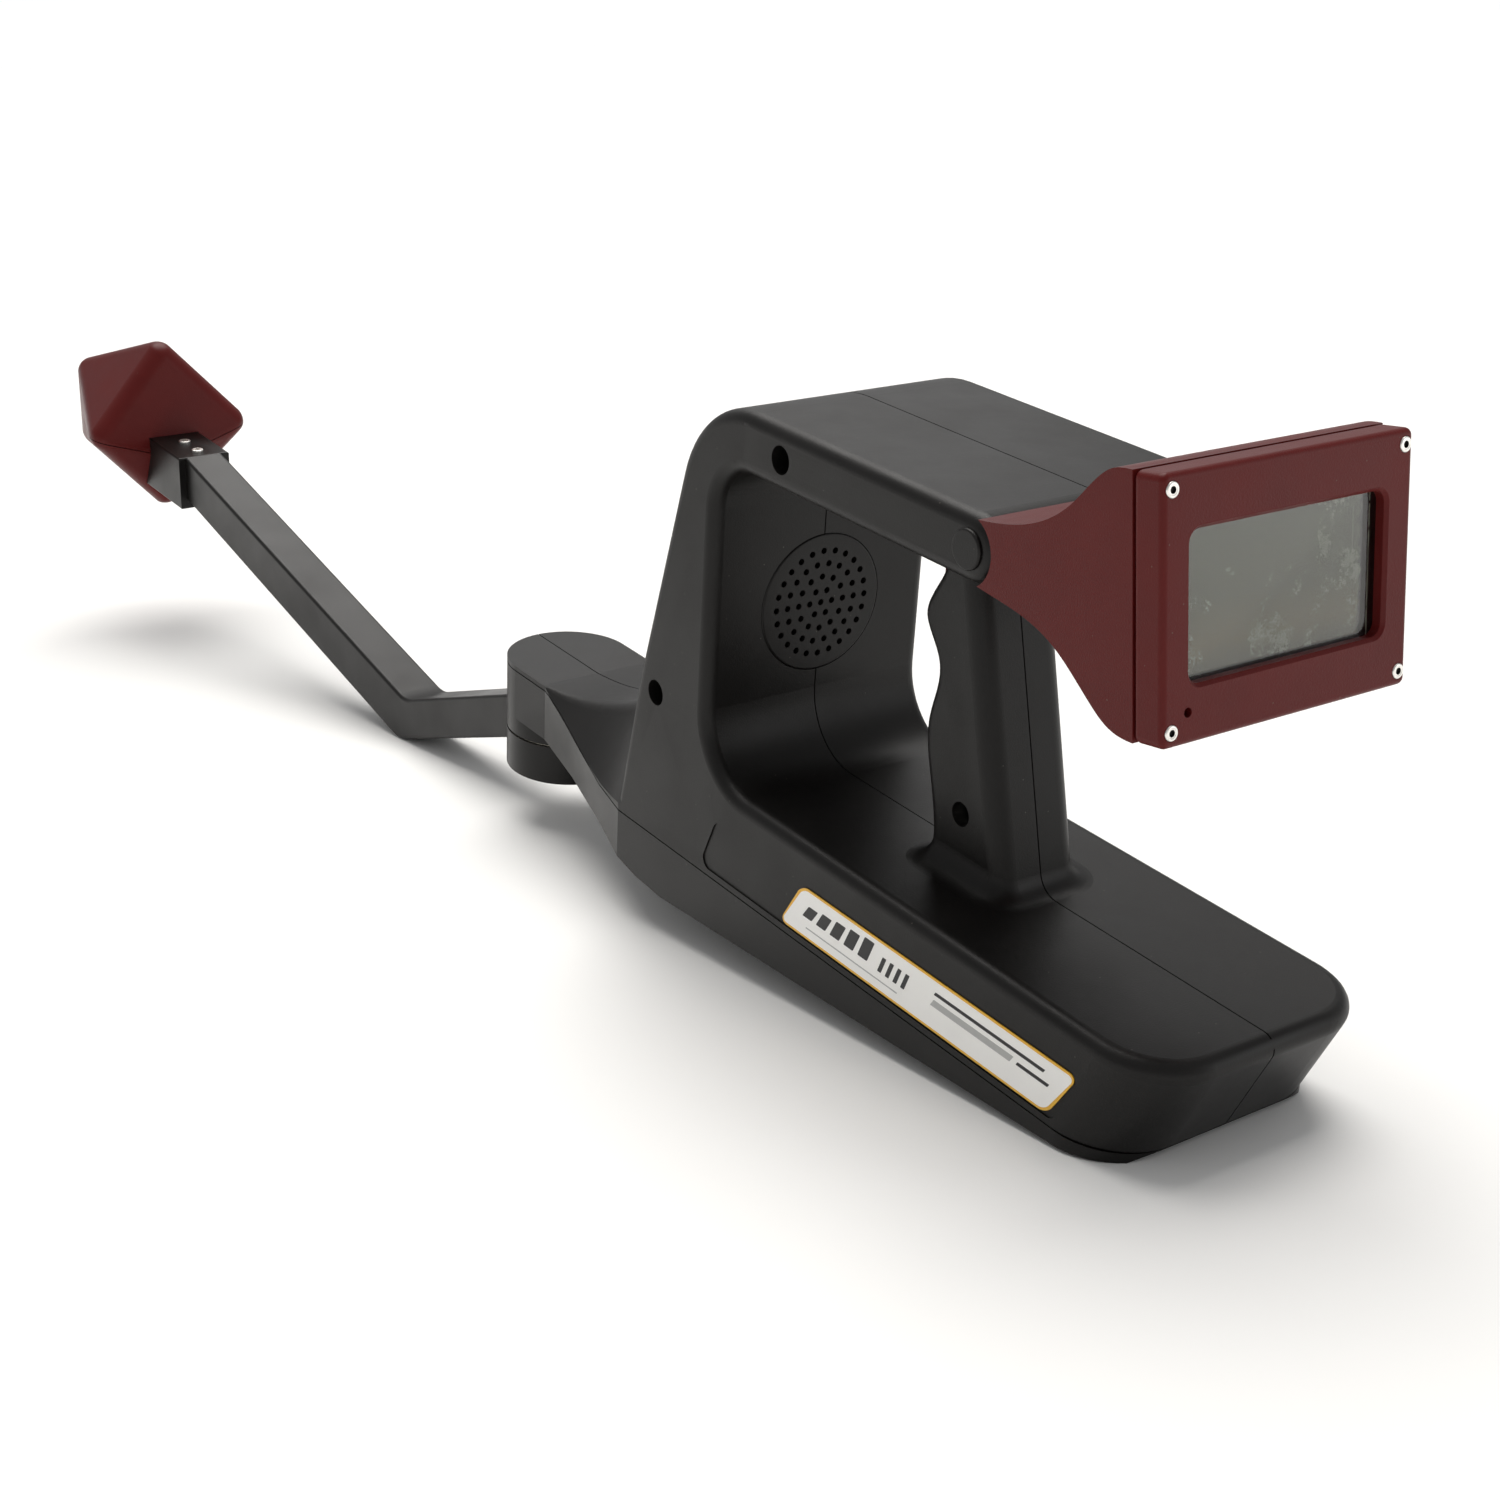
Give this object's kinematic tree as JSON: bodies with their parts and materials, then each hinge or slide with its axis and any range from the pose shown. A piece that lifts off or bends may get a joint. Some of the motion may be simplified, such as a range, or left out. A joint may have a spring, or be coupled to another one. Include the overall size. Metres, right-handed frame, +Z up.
{
  "type": "hand-held cable and metal locator",
  "caption": "Hand-held underground line locator: D-frame hull with squeeze grip and trigger, tilting display head, swivelling cranked arm and a faceted coil pod.",
  "frame": {"origin": "bottom centre of the bounding box, in the resting stance on the hull's rear lower edge and the arm's elbow", "axes": "+Y forward along the arm towards the coil pod, +X to the user's right, +Z up"},
  "size_m": [0.1024, 0.9736, 0.2199],
  "materials": {
    "shell_abs": "fine moulded texture, black ABS",
    "head_abs": "moulded maroon ABS, fine texture",
    "window_pc": "clear polycarbonate",
    "lcd": "LCD module, grey-green",
    "pcb": "solder-masked fibreglass board",
    "zinc_steel": "zinc-plated steel",
    "steel": "steel",
    "cell": "dry-cell jacket",
    "nylon": "natural nylon",
    "label": "printed polyester label",
    "cable": "PVC cable jacket",
    "copper": "enamelled copper winding",
    "speaker_black": "pressed steel basket and paper cone",
    "black_plain": "black moulded switch body"
  },
  "bodies": {
    "hull": {"battery_cells": "cell", "battery_contacts": "steel", "battery_door": "shell_abs", "battery_tray": "shell_abs", "bottom_cover": "shell_abs", "cover_screws": "steel", "door_screws": "steel", "friction_washers": "nylon", "housing_screws": "steel", "hull_cable": "cable", "left_shell": "shell_abs", "main_board": "pcb", "pivot_bolt": "steel", "pivot_caps": "shell_abs", "right_shell": "shell_abs", "side_label": "label", "speaker": "speaker_black", "speaker_grille": "shell_abs", "swivel_bolt": "steel", "swivel_nut": "steel", "swivel_washer": "nylon", "trigger_pin": "steel", "trigger_spring": "steel", "trigger_switch": "black_plain"},
    "head": {"display_housing": "head_abs", "display_bezel": "head_abs", "display_window": "window_pc", "lcd_module": "lcd", "display_board": "pcb", "bezel_screws": "zinc_steel"},
    "arm": {"antenna_arm": "shell_abs", "arm_cable": "cable", "pod_clamp": "shell_abs", "clamp_screws": "zinc_steel", "pod_upper_shell": "head_abs", "pod_lower_shell": "head_abs", "coil_former": "nylon", "antenna_coils": "copper"},
    "trigger": {"trigger": "head_abs"}
  },
  "joints": [
    {"name": "arm_swivel", "type": "hinge", "parent": "hull", "child": "arm", "pos_m": [0, -0.06361, 0.04278], "axis": [0, -0.1479, 0.989], "range_deg": [0, 180]},
    {"name": "display_tilt", "type": "hinge", "parent": "hull", "child": "head", "pos_m": [0, -0.40249, 0.18584], "axis": [1, 0, 0], "range_deg": [-30, 20]},
    {"name": "trigger_squeeze", "type": "hinge", "parent": "hull", "child": "trigger", "pos_m": [0, -0.35017, 0.17405], "axis": [1, 0, 0], "range_deg": [-7, 0], "stiffness_Nm_per_rad": 0.25, "springref_deg": 2.86, "deforming": ["trigger_spring"]}
  ]
}
